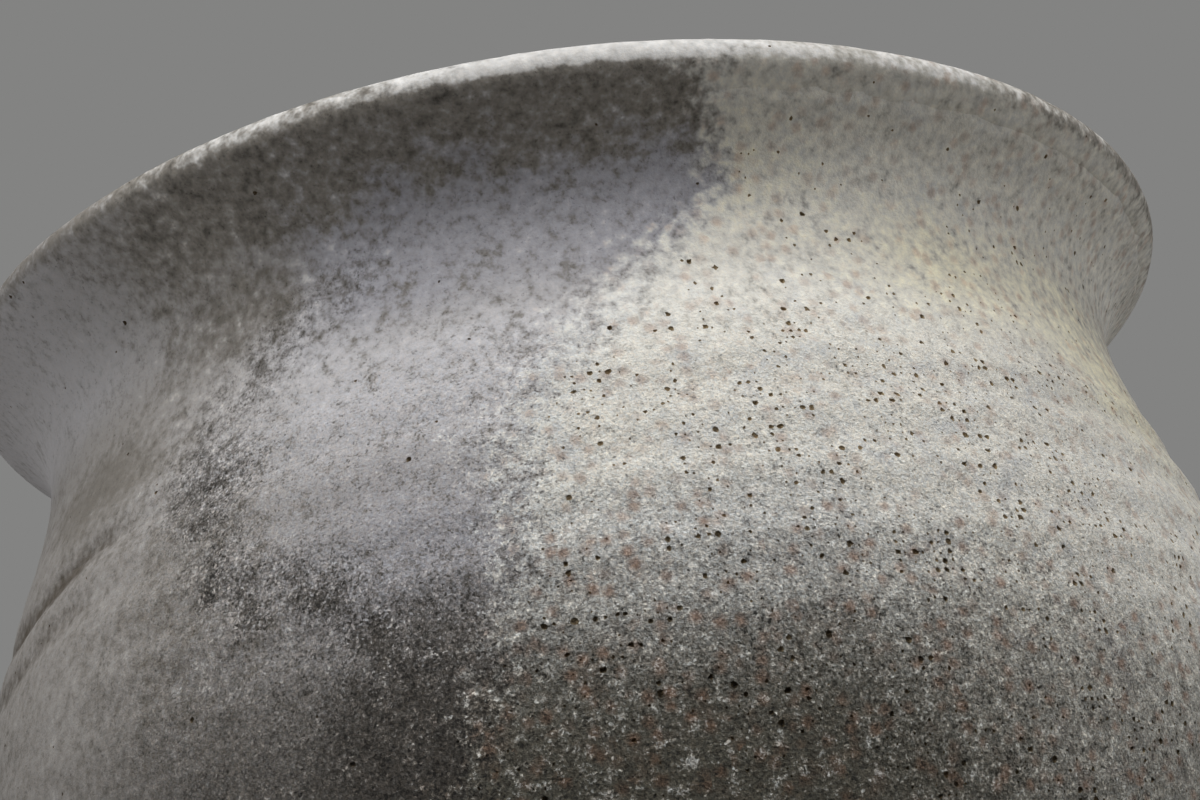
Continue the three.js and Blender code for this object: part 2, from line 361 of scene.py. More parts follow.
    # The creases are cut into the wall, and their colour is darkened as painted shade
    drop = CREASE_DROP * np.clip(CREASE_DROP_FROM - true_angle, 0, CREASE_DROP_REACH)
    below_seam = SEAM_HEIGHT - drop - true_height + 0.5 * small
    marks["crease"] = bell(below_seam, 0, CREASE_WIDTH) + 0.6 * bell(below_seam, RING_PITCH, CREASE_WIDTH)
    marks["crease"] *= smooth_step(*CREASE_START, true_angle + 2 * broad)
    marks["crease"] *= 1 - smooth_step(*CREASE_END, np.abs(true_angle))

    marks["lip"] = smooth_step(*LIP_HEIGHT, true_height + 0.25 * small)
    wiped = 0.48 * smooth_step(*WIPED_LEFT, angle) + 0.45 * smooth_step(*WIPED_RIGHT, angle)
    wiped += 0.25 * smooth_step(*WIPED_FAR_RIGHT, angle)
    marks["lip"] *= 1 - wiped * front - 0.35 * rim_left
    return marks


WOBBLE_HEIGHT = 0.25
WOBBLE_SIZE = 45.0
GRIT_HEIGHT = 0.045
GRIT_SIZE = 1.9


def clay_relief(points, marks):
    """How far the fired wall stands out from its turned form, in mm."""
    height = points[:, 2]
    fade = smooth_step(RING_LOW, RING_LOW + RING_FADE, height)
    fade *= 1 - smooth_step(RING_HIGH - RING_FADE, RING_HIGH, height)
    rings = RING_DEPTH * fade * (0.5 + 0.5 * np.cos(2 * math.pi * (height - SEAM_HEIGHT) / RING_PITCH))
    rings *= 1 - 0.75 * marks["left"]
    wobble = WOBBLE_HEIGHT * lumps(points, WOBBLE_SIZE, octaves=2, offset=7.0)
    grit = GRIT_HEIGHT * lumps(points, GRIT_SIZE, octaves=2, offset=3.0)
    return wobble + grit - rings - CREASE_DEPTH * marks["crease"]


INSIDE_RING_PITCH = 9.0
INSIDE_RING_DEPTH = 0.2
INSIDE_RING_FOOT = (FLOOR_HEIGHT + 3, FLOOR_HEIGHT + 18)
INSIDE_RING_TOP = (NECK_HEIGHT, HEIGHT - 5)
INSIDE_LUMP_HEIGHT = 0.12
INSIDE_LUMP_SIZE = 5.0


def inside_relief(points):
    """How far the finger rings and the grit stand out inside the wall, in mm; floor and foot stay flat."""
    height = points[:, 2]
    wall = smooth_step(*INSIDE_RING_FOOT, height) * (1 - smooth_step(*INSIDE_RING_TOP, height))
    rings = INSIDE_RING_DEPTH * np.cos(2 * math.pi * height / INSIDE_RING_PITCH)
    return wall * (rings + INSIDE_LUMP_HEIGHT * lumps(points, INSIDE_LUMP_SIZE, octaves=2, offset=13.0))


CRUST_BED = 0.7
CRUST_BED_EDGE = (0.6, 0.95)


def under_ash(marks):
    """How far the clay lies back under the ash crust, so that the crust's pits stay open."""
    return CRUST_BED * smooth_step(*CRUST_BED_EDGE, marks["crust"])


def place_rows(rows, angles):
    """Points and outward directions for each row of radius, height and facing, at each angle."""
    ring = np.stack([np.sin(angles), -np.cos(angles)], axis=1)
    points = np.concatenate([np.c_[ring * r, np.full(len(ring), h)] for r, h, _, _ in rows])
    outward = np.concatenate([np.c_[ring * out, np.full(len(ring), up)] for _, _, out, up in rows])
    return points, outward


def grid_quads(row_count, column_count, rows_join, columns_join):
    """Quads between neighbouring rows and columns of points, joined end to end where asked."""
    row = np.arange(row_count if rows_join else row_count - 1)
    column = np.arange(column_count if columns_join else column_count - 1)
    row, column = np.meshgrid(row, column, indexing="ij")
    next_row, next_column = (row + 1) % row_count, (column + 1) % column_count
    corners = ((row, column), (row, next_column), (next_row, next_column), (next_row, column))
    return np.stack([r * column_count + c for r, c in corners], axis=-1).reshape(-1, 4)


# Pits: points round the rim, and the shares of a quad, a radius or a depth that shape them
PIT_STEPS = 8
PIT_START = 225
PIT_FILL = 0.85
PIT_STRAY = 0.8
PIT_DENT = 0.55
PIT_BULGE = 1.15
PIT_RIM_RISE = 0.05
PIT_FLOOR_WIDTH = 0.72
PIT_FLOOR_SINK = 0.8
PIT_MIDDLE_SINK = 0.2
# How much painted shade each pit's rim and floor get
PIT_RIM_SHADE = 0.1
PIT_FLOOR_SHADE = 0.8
PIT_RARITY = 3
PIT_DEPTH = (0.35, 0.7)
SHARP_EDGE = math.radians(45)


def cut_pits(points, quads, radius, depth, chance):
    """Swaps each quad for a round pit: points round its rim, round its floor and one in the middle."""
    corner = points[quads]
    out = np.cross(corner[:, 2] - corner[:, 0], corner[:, 3] - corner[:, 1])
    out /= np.linalg.norm(out, axis=1)[:, None]
    wide = np.linalg.norm(corner[:, 1] - corner[:, 0], axis=1)
    tall = np.linalg.norm(corner[:, 3] - corner[:, 0], axis=1)
    room = 0.5 * np.minimum(wide, tall)
    radius = np.minimum(radius, PIT_FILL * room)
    shift = chance.uniform(-PIT_STRAY, PIT_STRAY, (len(quads), 2)) * (room - PIT_BULGE * radius)[:, None]
    turn = np.radians(PIT_START + 360 / PIT_STEPS * np.arange(PIT_STEPS))
    uneven = radius[:, None] * chance.uniform(PIT_DENT, PIT_BULGE, (len(quads), PIT_STEPS))

    def ring(share, sink):
        u = 0.5 + (shift[:, :1] + share * uneven * np.cos(turn)) / wide[:, None]
        v = 0.5 + (shift[:, 1:] + share * uneven * np.sin(turn)) / tall[:, None]
        weights = np.stack([(1 - u) * (1 - v), u * (1 - v), u * v, (1 - u) * v], axis=2)
        return np.einsum("nkc,ncd->nkd", weights, corner) - (sink * depth)[:, None, None] * out[:, None]

    rim = ring(1.0, -PIT_RIM_RISE)
    floor = ring(PIT_FLOOR_WIDTH, PIT_FLOOR_SINK)
    middle = floor.mean(axis=1, keepdims=True) - PIT_MIDDLE_SINK * depth[:, None, None] * out[:, None]
    made = np.concatenate([rim, floor, middle], axis=1)
    first = len(points) + np.arange(len(quads))[:, None] * made.shape[1]
    faces = []
    for side in range(4):
        here, there = quads[:, [side]], quads[:, [(side + 1) % 4]]
        rim_here, rim_mid, rim_there = (first + (2 * side + k) % PIT_STEPS for k in range(3))
        for triangle in ((here, there, rim_mid), (here, rim_mid, rim_here), (there, rim_there, rim_mid)):
            faces += np.hstack(triangle).tolist()
    for k in range(PIT_STEPS):
        after = (k + 1) % PIT_STEPS
        low, low_after = first + PIT_STEPS + k, first + PIT_STEPS + after
        faces += np.hstack([first + k, first + after, low_after, low]).tolist()
        faces += np.hstack([low, low_after, first + 2 * PIT_STEPS]).tolist()
    # Depth shares of the pit's points, darkened in the material as painted shade
    sunk = np.r_[np.full(PIT_STEPS, PIT_RIM_SHADE), np.full(PIT_STEPS, PIT_FLOOR_SHADE), 1.0]
    return made.reshape(-1, 3), faces, np.tile(sunk, len(quads))


def fired_piece(name, points, quads, other_faces, marks, pit_chance, pit_radius, seed):
    """A mesh of the given points and faces, with pits cut where chance has them and the marks kept on it."""
    chance = np.random.default_rng(seed)
    has_pit = chance.random(len(quads)) < pit_chance
    count = has_pit.sum()
    radius = pit_radius[0] + (pit_radius[1] - pit_radius[0]) * chance.random(count) ** PIT_RARITY
    depth = radius * chance.uniform(*PIT_DEPTH, count)
    made, pit_faces, sunk = cut_pits(points, quads[has_pit], radius, depth, chance)
    owner = np.repeat(quads[has_pit][:, 0], 2 * PIT_STEPS + 1)
    corners = np.vstack([points, made]) * MM
    faces = quads[~has_pit].tolist() + pit_faces + other_faces
    mesh = bpy.data.meshes.new(name)
    mesh.from_pydata(corners.tolist(), [], faces)
    mesh.shade_smooth()
    mesh.set_sharp_from_angle(angle=SHARP_EDGE)
    kept = {key: np.r_[value, value[owner]] for key, value in marks.items()}
    kept["pit"] = np.r_[np.zeros(len(points)), sunk]
    for key, value in kept.items():
        mesh.attributes.new(key, "FLOAT", "POINT").data.foreach_set("value", value.astype(np.float32))
    piece = bpy.data.objects.new(name, mesh)
    bpy.context.collection.objects.link(piece)
    return piece


CLAY_PIT_CHANCE = 0.004
CLAY_PIT_RADIUS = (0.16, 0.42)
BARE_GRAIN = 0.6
round_angles = np.radians(np.arange(COLUMNS) * 360 / COLUMNS)


def turned_piece(name, fired_rows, bare_rows, seed, before=(), capped=False):
    """A piece of clay turned all round: rows before, the fired outside, then bare rows back to the start."""
    groups = [group for group in (before, fired_rows, bare_rows) if len(group)]
    rows = np.vstack(groups)
    points, outward = place_rows(rows, round_angles)
    fired = np.arange(len(rows)) >= len(before)
    fired &= np.arange(len(rows)) < len(before) + len(fired_rows)
    outside = np.repeat(fired, COLUMNS)
    marks = {key: value * outside for key, value in fire_marks(points).items()}
    marks["bare"] = 1.0 - outside
    marks["coarse"] = np.where(outside, marks["coarse"], BARE_GRAIN)
    relief = np.where(outside, clay_relief(points, marks) - under_ash(marks), inside_relief(points))
    points = points + outward * relief[:, None]
    quads = grid_quads(len(rows), COLUMNS, not capped, True)
    last = (len(rows) - 1) * COLUMNS
    caps = [list(range(COLUMNS))[::-1], list(range(last, last + COLUMNS))] if capped else []
    pit_chance = CLAY_PIT_CHANCE * outside[quads].all(axis=1)
    return fired_piece(name, points, quads, caps, marks, pit_chance, CLAY_PIT_RADIUS, seed)


def put(tree, kind, wires=None, **settings):
    """Adds a node, sets its properties, and feeds each socket from a value or from another socket."""
    made = tree.nodes.new(kind)
    for key, value in settings.items():
        setattr(made, key, value)
    for socket, value in (wires or {}).items():
        if isinstance(value, bpy.types.NodeSocket):
            tree.links.new(value, made.inputs[socket])
        else:
            made.inputs[socket].default_value = value
    return made


def calc(tree, operation, *values):
    return put(tree, "ShaderNodeMath", dict(enumerate(values)), operation=operation).outputs[0]


def ramp(tree, value, low, high, start=0.0, end=1.0):
    """Start up to low and end from high on, with a smooth change between them."""
    wires = {"Value": value, "From Min": low, "From Max": high, "To Min": start, "To Max": end}
    return put(tree, "ShaderNodeMapRange", wires, interpolation_type="SMOOTHSTEP").outputs["Result"]


def tint(tree, share, under, over, blend="MIX"):
    """One colour laid over another, by a share from 0 to 1."""
    wires = {0: share, 6: under, 7: over}
    return put(tree, "ShaderNodeMix", wires, data_type="RGBA", blend_type=blend).outputs[2]


def grain(tree, place, per_mm, detail, roughness):
    """Cloudy noise about a middle of 0."""
    wires = {"Vector": place, "Scale": per_mm, "Detail": detail, "Roughness": roughness}
    return calc(tree, "SUBTRACT", put(tree, "ShaderNodeTexNoise", wires).outputs["Fac"], 0.5)


SPECK_FADE = 0.1


def specks(tree, place, per_mm, inner, outer, rare):
    """Round specks, one in each random cell, in the share of cells above rare."""
    cell = put(tree, "ShaderNodeTexVoronoi", {"Vector": place, "Scale": per_mm})
    pick = put(tree, "ShaderNodeSeparateColor", {0: cell.outputs["Color"]}).outputs[0]
    near = ramp(tree, cell.outputs["Distance"], inner, outer, 1.0, 0.0)
    return calc(tree, "MULTIPLY", near, ramp(tree, pick, rare, rare + SPECK_FADE))


def mark(tree, key):
    return put(tree, "ShaderNodeAttribute", attribute_name=key).outputs["Fac"]


def times(tree, colour, value):
    """The colour made lighter or darker by a factor."""
    grey = put(tree, "ShaderNodeCombineColor", {0: value, 1: value, 2: value}).outputs[0]
    return tint(tree, 1.0, colour, grey, "MULTIPLY")


def millimetres(tree):
    place = put(tree, "ShaderNodeTexCoord").outputs["Object"]
    return put(tree, "ShaderNodeVectorMath", {0: place, "Scale": 1 / MM}, operation="SCALE").outputs[0]


def fired_colour(red, green, blue):
    """A colour as seen, 0 to 255, in the linear values that shaders take."""
    seen = (channel / 255 for channel in (red, green, blue))
    return (*(c / 12.92 if c <= 0.04045 else ((c + 0.055) / 1.055) ** 2.4 for c in seen), 1.0)


# Colours of the clay, the ash and the coarse grains of fired clay in it, and of the shade painted on them
CLAY_GREY = fired_colour(160, 156, 152)
CLAY_LILAC = fired_colour(192, 190, 192)
CLAY_VIOLET = fired_colour(165, 164, 170)
CLAY_BROWN = fired_colour(130, 125, 118)
BELLY_BROWN_AND_SHADE = fired_colour(88, 84, 79)
FLASH_BROWN = fired_colour(148, 143, 135)
SMOKE_BROWN = fired_colour(75, 71, 66)
CREASE_GLAZE_AND_SHADE = fired_colour(84, 76, 66)
LIP_DUST = fired_colour(205, 203, 200)
ASH_CREAM = fired_colour(232, 229, 220)
ASH_GREY = fired_colour(217, 217, 215)
ASH_YELLOW = fired_colour(215, 209, 183)
ASH_MATRIX_AND_SHADE = fired_colour(92, 89, 79)
PAINTED_SHADE_ON_ASH = fired_colour(168, 164, 155)
GROG_PINK = fired_colour(172, 142, 124)
GROG_BROWN = fired_colour(108, 84, 67)
BARE_CLAY = fired_colour(140, 130, 120)
COOL_GRAIN = (0.965, 1.0, 1.04, 1.0)
WARM_GRAIN = (1.04, 1.0, 0.955, 1.0)
PIT_WALL_TINT_AND_SHADE = (0.5, 0.4, 0.26, 1.0)
PIT_FLOOR_TINT_AND_SHADE = (0.42, 0.38, 0.34, 1.0)

# Grain of the clay: how many per mm, how strongly each kind shows and how deep the grit is in mm
PATCHES_PER_MM = 0.3
CLUMPS_PER_MM = 0.9
SAND_PER_MM = 3.4
GRAINS_PER_MM = 4.4
GROG_PER_MM = 0.6
STRAY_PER_MM = 2.0
STRAY = (0.6, 0.6, 0.6)
GLINT_SHARE = 0.13
SAND_SHARE = 0.66
FINE_SHARE = 1.65
CLUMP_SHARE = 0.72
FLECK_SHARE = 3.2
SMOKE_CONTRAST = 1.4
MARKED_CONTRAST = 1.45
ASH_CONTRAST = 0.25
CLAY_CONTRAST = 0.65
DARKEST = 0.2
SHEEN = 0.25
CLAY_GRIT = 0.15


def wood_fired(name, grit_depth):
    """Matte gritty clay marked by flame and smoke, under ash that fused to a dry cream glaze, with painted
    shade under the flare, down the right side, in creases and pits and on the lower belly, and painted
    glints on its grains.
    """
    material = bpy.data.materials.new(name)
    material.use_nodes = True
    tree = material.node_tree
    shader = tree.nodes["Principled BSDF"]
    place = millimetres(tree)
    cloud = {"Vector": place, "Scale": STRAY_PER_MM, "Detail": 2.0}
    stray = {0: put(tree, "ShaderNodeTexNoise", cloud).outputs["Color"], 1: STRAY, 2: place}
    warped = put(tree, "ShaderNodeVectorMath", stray, operation="MULTIPLY_ADD").outputs[0]
    patchy = grain(tree, place, PATCHES_PER_MM, detail=3.0, roughness=0.6)
    clumps = grain(tree, place, CLUMPS_PER_MM, detail=2.0, roughness=0.6)
    sand = grain(tree, place, SAND_PER_MM, detail=3.0, roughness=0.75)
    grains = put(tree, "ShaderNodeTexVoronoi", {"Vector": warped, "Scale": GRAINS_PER_MM}).outputs["Color"]
    shade, warmth, _ = put(tree, "ShaderNodeSeparateColor", {0: grains}).outputs
    # Grain specks in the colour: bright ones are pale crystals with a painted glint, dark ones are dark
    # grains
    glints = calc(tree, "SUBTRACT", ramp(tree, shade, 0.8, 1.0), ramp(tree, shade, 0.0, 0.2, 1.0, 0.0))
    fine = calc(tree, "MULTIPLY_ADD", glints, GLINT_SHARE, calc(tree, "MULTIPLY", sand, SAND_SHARE))
    grog = specks(tree, warped, GROG_PER_MM, inner=0.1, outer=0.55, rare=0.25)
    grog = calc(tree, "MULTIPLY", grog, ramp(tree, patchy, -0.25, 0.1, 0.25, 1.0))

    coarse, on_left = mark(tree, "coarse"), mark(tree, "left")
    gritty = calc(tree, "MULTIPLY", fine, coarse)
    rough = calc(tree, "MULTIPLY_ADD", gritty, FINE_SHARE, calc(tree, "MULTIPLY", clumps, CLUMP_SHARE))
    mottle = calc(tree, "ADD", patchy, clumps)
    mottle = calc(tree, "MULTIPLY", mottle, ramp(tree, coarse, 0.1, 0.9, 0.5, 0.0))
    mottle = calc(tree, "MULTIPLY", mottle, ramp(tree, on_left, 0.0, 1.0, 1.0, 0.0))
    rough = calc(tree, "ADD", rough, mottle)
    ragged = calc(tree, "MULTIPLY_ADD", patchy, 1.2, calc(tree, "ADD", clumps, rough))
    flecks = calc(tree, "MULTIPLY_ADD", clumps, 0.6, calc(tree, "MULTIPLY", patchy, 0.5))
    flecks = calc(tree, "MULTIPLY_ADD", fine, FLECK_SHARE, flecks)

    def stippled(field, low, high, push=1.0, stipple=ragged):
        """A mark with its edge broken up by the grain."""
        return ramp(tree, calc(tree, "MULTIPLY_ADD", stipple, push, field), low, high)

    thin_ash_and_shade, smoke, flash = mark(tree, "thin_ash_and_shade"), mark(tree, "smoke"), mark(tree, "flash")
    colour = tint(tree, mark(tree, "lilac"), CLAY_GREY, CLAY_LILAC)
    colour = tint(tree, mark(tree, "violet"), colour, CLAY_VIOLET)
    colour = tint(tree, stippled(mark(tree, "brown"), 0.0, 1.0, -0.6), colour, CLAY_BROWN)
    # The lower belly is darkened to brown: the ash thins there, and the darkening is also painted shade
    colour = tint(tree, stippled(thin_ash_and_shade, 0.0, 1.1, -0.35, rough), colour, BELLY_BROWN_AND_SHADE)
    flashed = stippled(flash, 0.0, 1.0, -0.9)
    flashed = calc(tree, "MULTIPLY", flashed, ramp(tree, on_left, 0.0, 1.0, 1.0, 0.3))
    colour = tint(tree, flashed, colour, FLASH_BROWN)
    colour = tint(tree, stippled(smoke, 0.0, 1.15, -0.8, flecks), colour, SMOKE_BROWN)
    # Painted shade in the creases, with darker glaze pooled in them
    colour = tint(tree, stippled(mark(tree, "crease"), 0.0, 1.3, -0.6), colour, CREASE_GLAZE_AND_SHADE)

    ash = mark(tree, "ash")
    cool = calc(tree, "MAXIMUM", ramp(tree, patchy, -0.05, 0.25), mark(tree, "cool"))
    glaze = tint(tree, cool, ASH_CREAM, ASH_GREY)
    # Painted shade laid over the ash glaze
    glaze = tint(tree, mark(tree, "shade"), glaze, PAINTED_SHADE_ON_ASH)
    glaze = tint(tree, stippled(mark(tree, "yellow"), 0.0, 1.1, 0.5), glaze, ASH_YELLOW)
    # The dark matrix where the ash thins, which is also painted shade on the lower belly
    glaze = tint(tree, stippled(thin_ash_and_shade, 0.0, 1.0, -0.4, rough), glaze, ASH_MATRIX_AND_SHADE)
    brown_share = calc(tree, "MULTIPLY", ramp(tree, patchy, 0.0, 0.25, 0.0, 0.35), thin_ash_and_shade)
    glaze = tint(tree, brown_share, glaze, GROG_BROWN)
    grog_share = calc(tree, "MULTIPLY", grog, ramp(tree, thin_ash_and_shade, 0.0, 0.4, 0.5, 0.82))
    glaze = tint(tree, grog_share, glaze, tint(tree, thin_ash_and_shade, GROG_PINK, GROG_BROWN))
    pale = ramp(tree, calc(tree, "MULTIPLY_ADD", clumps, 0.9, fine), 0.08, 0.3, 0.0, 0.4)
    glaze = tint(tree, calc(tree, "MULTIPLY", pale, thin_ash_and_shade), glaze, ASH_GREY)
    colour = tint(tree, stippled(ash, 0.2, 0.9, 0.6), colour, glaze)
    lip = mark(tree, "lip")
    colour = tint(tree, stippled(lip, 0.2, 0.8, 0.5), colour, LIP_DUST)
    colour = tint(tree, mark(tree, "bare"), colour, BARE_CLAY)

    under_lip = calc(tree, "MULTIPLY", flash, calc(tree, "MULTIPLY_ADD", ash, -0.5, 0.5))
    under_lip = calc(tree, "MULTIPLY", under_lip, calc(tree, "SUBTRACT", 1.0, lip))
    marked = calc(tree, "MAXIMUM", thin_ash_and_shade, calc(tree, "MULTIPLY", smoke, SMOKE_CONTRAST))
    marked = calc(tree, "MAXIMUM", marked, under_lip)
    contrast = calc(tree, "MULTIPLY_ADD", ash, ASH_CONTRAST, CLAY_CONTRAST)
    contrast = calc(tree, "MULTIPLY_ADD", marked, MARKED_CONTRAST, contrast)
    contrast = calc(tree, "MULTIPLY", contrast, ramp(tree, on_left, 0.0, 1.0, 1.0, 0.35))
    lightness = calc(tree, "MAXIMUM", calc(tree, "MULTIPLY_ADD", rough, contrast, 1.0), DARKEST)
    colour = times(tree, colour, lightness)
    grain_hue = tint(tree, warmth, COOL_GRAIN, WARM_GRAIN)
    colour = tint(tree, ramp(tree, coarse, 0.1, 1.1, 0.4, 1.0), colour, grain_hue, "MULTIPLY")
    # Painted shade in the pits, darker with depth, over the brown of their walls
    depth = mark(tree, "pit")
    colour = tint(tree, ramp(tree, depth, 0.1, 0.45), colour, PIT_WALL_TINT_AND_SHADE, "MULTIPLY")
    colour = tint(tree, ramp(tree, depth, 0.7, 1.0), colour, PIT_FLOOR_TINT_AND_SHADE, "MULTIPLY")
    tree.links.new(colour, shader.inputs["Base Color"])
    shader.inputs["Specular IOR Level"].default_value = SHEEN
    tree.links.new(ramp(tree, fine, -0.2, 0.2, 0.72, 0.95), shader.inputs["Roughness"])

    grit = calc(tree, "MULTIPLY", ramp(tree, coarse, 0.1, 1.1, 0.35, 1.2), grit_depth)
    height = calc(tree, "MULTIPLY", calc(tree, "MULTIPLY_ADD", clumps, 0.8, sand), grit)
    bump = put(tree, "ShaderNodeBump", {"Strength": 1.0, "Distance": MM, "Height": height})
    tree.links.new(bump.outputs["Normal"], shader.inputs["Normal"])
    return material


clay = wood_fired("wood_fired_clay", CLAY_GRIT)

base_line = np.array([[CENTRE_RADIUS, BASE_HEIGHT], [BASE_RADIUS - BASE_EDGE, BASE_HEIGHT]])
floor_line = np.array([[FLOOR_RADIUS, FLOOR_HEIGHT], [CENTRE_RADIUS, FLOOR_HEIGHT]])
base_rows = stepped(base_line, FLAT_STEP)
body_rows = stepped(between(outside_face, BASE_HEIGHT, SEAM_LOW), OUTSIDE_STEP)
body_inside = stepped(between(inside_face, FLOOR_HEIGHT, SEAM_LOW + SEAM_BEVEL)[::-1], INSIDE_STEP)
bare_rows = np.vstack([body_inside, stepped(floor_line, FLAT_STEP)[1:]])
body = turned_piece("body_wall", body_rows, bare_rows, seed=11, before=base_rows, capped=True)
body.data.materials.append(clay)
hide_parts("body")
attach(body, "root")


# Collar seam: a thin layer of liquid clay that lutes the neck to the shoulder.
# It lies on a bevel and is wiped level outside, so only a crease shows at the root of the neck.

seam_rows = stepped(between(outside_face, SEAM_LOW, SEAM_HIGH), SLIP_THICKNESS / 2)
seam_inside = between(inside_face, SEAM_LOW + SEAM_BEVEL, SEAM_HIGH + SEAM_BEVEL)[::-1]
seam = turned_piece("collar_seam", seam_rows, stepped(seam_inside, SLIP_THICKNESS), seed=12)
seam.data.materials.append(clay)
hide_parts("collar_joint_slip")
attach(seam, "root")


# Neck collar: the waisted neck and flared lip, thrown on as a second section.
# The lip is a round edge about 4 mm thick, smoothed with a wet finger.

LIP_STEP = 0.6
COLLAR_INSIDE_STEP = 1.6
NOSE_POINTS = 60
nose_turn = np.arctan2(flare_across[1], flare_across[0]) + np.linspace(0, math.pi, NOSE_POINTS)
nose = nose_centre + LIP_THICKNESS / 2 * np.stack([np.cos(nose_turn), np.sin(nose_turn)], axis=1)
neck_rows = stepped(between(outside_face, SEAM_HIGH, nose_outer[1]), OUTSIDE_STEP)[:-1]
collar_rows = np.vstack([neck_rows, stepped(nose, LIP_STEP)])
collar_inside = between(inside_face, SEAM_HIGH + SEAM_BEVEL, nose_inner[1])[::-1]
collar_bare = stepped(collar_inside, COLLAR_INSIDE_STEP)[1:]
collar = turned_piece("neck_and_lip", collar_rows, collar_bare, seed=13)
collar.data.materials.append(clay)
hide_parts("neck_collar")
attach(collar, "root")


# Ash crust: wood ash that fell on the side towards the fire and fused to a dry, rough glaze.
# It lies over neck, seam and shoulder in one layer, full of pinholes, and thins out on the belly.

CRUST_LOW = 34.0
CRUST_START = -26.0
CRUST_END = 146.0
CRUST_STEP = 0.9
CRUST_BACK = -0.95
CRUST_BACK_STEP = 4
CRUST_COVER = (0.08, 0.62)
CRUST_DIP = -0.33
CRUST_LIFT = 0.5
CRUST_GRIT = 0.3
CRUST_PIT_CHANCE = 0.5
CRUST_PIT_RADIUS = (0.13, 0.42)
CRUMB_HEIGHT = 0.085
CRUMB_SIZE = 1.3
CLOD_HEIGHT = 0.05
CLOD_SIZE = 3.1
CLUSTER_SIZE = 5.0
CLUSTER_EDGE = (-0.5, 0.6)
SMOOTH_NECK = (98, 112)
crust_rows = stepped(between(outside_face, CRUST_LOW, nose_outer[1]), CRUST_STEP)
crust_turn = math.degrees(CRUST_STEP / BELLY_RADIUS)
crust_angles = np.radians(np.arange(CRUST_START, CRUST_END, crust_turn))
crust_points, crust_outward = place_rows(crust_rows, crust_angles)
crust_marks = fire_marks(crust_points)
shoulder_share = 1 - smooth_step(*SMOOTH_NECK, crust_points[:, 2])
crumbs = CRUMB_HEIGHT * lumps(crust_points, CRUMB_SIZE, octaves=2, offset=19.0)
crumbs += CLOD_HEIGHT * lumps(crust_points, CLOD_SIZE, octaves=1, offset=23.0)
crumbs *= 0.4 + 0.6 * shoulder_share
cover = smooth_step(*CRUST_COVER, crust_marks["crust"])
lift = CRUST_DIP + CRUST_LIFT * cover + crumbs * cover
crust_face = crust_points + crust_outward * (clay_relief(crust_points, crust_marks) + lift)[:, None]
crust_back = crust_points + crust_outward * CRUST_BACK

# The shell: its face, a plainer back joined to it above and below, and its two ends
row_count, column_count = len(crust_rows), len(crust_angles)
back_rows = np.r_[row_count - 1 : 0 : -CRUST_BACK_STEP, 0]
back_order = (back_rows[:, None] * column_count + np.arange(column_count)).ravel()
shell = np.vstack([crust_face, crust_back[back_order]])
shell_rows = row_count + len(back_rows)
shell_quads = grid_quads(shell_rows, column_count, True, False)
start_column = np.arange(shell_rows) * column_count
ends = [start_column.tolist(), (start_column[::-1] + column_count - 1).tolist()]

face_quads = shell_quads[: (row_count - 1) * (column_count - 1)]
clusters = smooth_step(*CLUSTER_EDGE, lumps(crust_points, CLUSTER_SIZE, octaves=2, offset=41.0))
clusters *= 0.3 + 0.7 * shoulder_share
covered = crust_marks["crust"][face_quads].min(axis=1) ** 2
face_chance = CRUST_PIT_CHANCE * covered * clusters[face_quads[:, 0]]
pit_chance = np.r_[face_chance, np.zeros(len(shell_quads) - len(face_quads))]
shell_marks = {key: np.r_[value, value[back_order]] for key, value in crust_marks.items()}
crust = fired_piece(
    "ash_crust", shell, shell_quads, ends, shell_marks, pit_chance, CRUST_PIT_RADIUS, seed=14
)
crust.data.materials.append(wood_fired("fused_ash", CRUST_GRIT))
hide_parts("ash_glaze_crust")
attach(crust, "root")


# Foot slip: the layer of liquid clay that lutes the foot ring under the base.
# It is set in from the ring's sides, where the potter wipes away what squeezes out.

FOOT_HEIGHT = 8.0
FOOT_RADIUS = 42.0
FOOT_WIDTH = 7.0
FOOT_SLIP_INSET = 0.6
FOOT_SLIP_STEP = 2.0
slip_outer = FOOT_RADIUS - FOOT_SLIP_INSET
slip_inner = FOOT_RADIUS - FOOT_WIDTH + FOOT_SLIP_INSET


def trimmed_ring(name, section, step, seed):
    """A ring of bare clay turned from a closed section of radius and height, with true corners."""
    sides = zip(section, section[1:] + section[:1])
    rows = np.vstack([stepped(np.array(side, dtype=float), step)[:-1] for side in sides])
    return turned_piece(name, rows[:0], rows, seed)


slip_section = [
    (slip_inner, FOOT_HEIGHT),
    (slip_outer, FOOT_HEIGHT),
    (slip_outer, BASE_HEIGHT),
    (slip_inner, BASE_HEIGHT),
]
foot_slip = trimmed_ring("foot_slip", slip_section, FOOT_SLIP_STEP, seed=15)
foot_slip.data.materials.append(clay)
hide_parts("foot_joint_slip")
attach(foot_slip, "root")


# Foot ring: the ring of clay that the bowl stands on, thrown on and trimmed to a slight taper.
# Its edges are broken so that it doesn't chip or scratch the table.

FOOT_TAPER = 1.0
FOOT_EDGE = 0.8
FOOT_STEP = 1.5
foot_inner = FOOT_RADIUS - FOOT_WIDTH
foot_section = [
    (foot_inner + FOOT_TAPER + FOOT_EDGE, 0.0),
    (FOOT_RADIUS - FOOT_TAPER - FOOT_EDGE, 0.0),
    (FOOT_RADIUS - FOOT_TAPER, FOOT_EDGE),
    (FOOT_RADIUS, FOOT_HEIGHT),
    (foot_inner, FOOT_HEIGHT),
    (foot_inner + FOOT_TAPER, FOOT_EDGE),
]
foot = trimmed_ring("trimmed_foot", foot_section, FOOT_STEP, seed=16)
foot.data.materials.append(clay)
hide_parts("foot_ring")
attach(foot, "root")


# Stage: a plain pale floor that runs out into a plain grey ground.
# Soft lamps hang overhead, at both sides and behind, and the camera stands low on the table.

